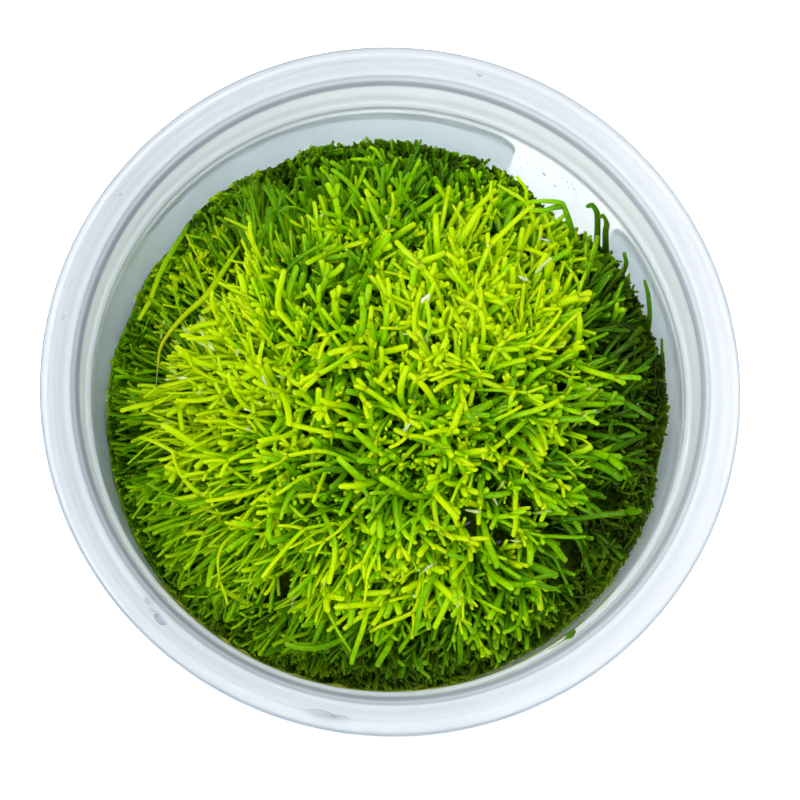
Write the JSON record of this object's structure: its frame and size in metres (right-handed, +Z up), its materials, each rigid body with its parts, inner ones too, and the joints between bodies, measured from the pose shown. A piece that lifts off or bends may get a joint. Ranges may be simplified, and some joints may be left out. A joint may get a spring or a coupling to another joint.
{
  "type": "riccia in vitro cup",
  "caption": "Open round tissue-culture cup with a broad rim, packed with a cushion of forked riccia thalli on nutrient gel, with a blank wrap-round label.",
  "frame": {"origin": "centre of the foot ring, on the surface that the cup stands on", "axes": "+Z up along the cup's axis, +Y to the far side and +X to the right as the picture looks down on it"},
  "size_m": [0.1, 0.1, 0.055],
  "materials": {
    "cup_plastic": "translucent bluish-white moulded polypropylene",
    "label_film": "blank white film label",
    "gel": "clear wet agar gel, pale olive",
    "riccia": "wet yellow-green to dark green living thallus",
    "thallus": "wet yellow-green living thallus"
  },
  "bodies": {
    "root": {"cup": "cup_plastic", "label": "label_film", "nutrient_gel": "gel", "riccia_cushion": "riccia", "long_thallus": "thallus", "short_thallus": "thallus", "thallus_scrap": "thallus"}
  },
  "joints": []
}
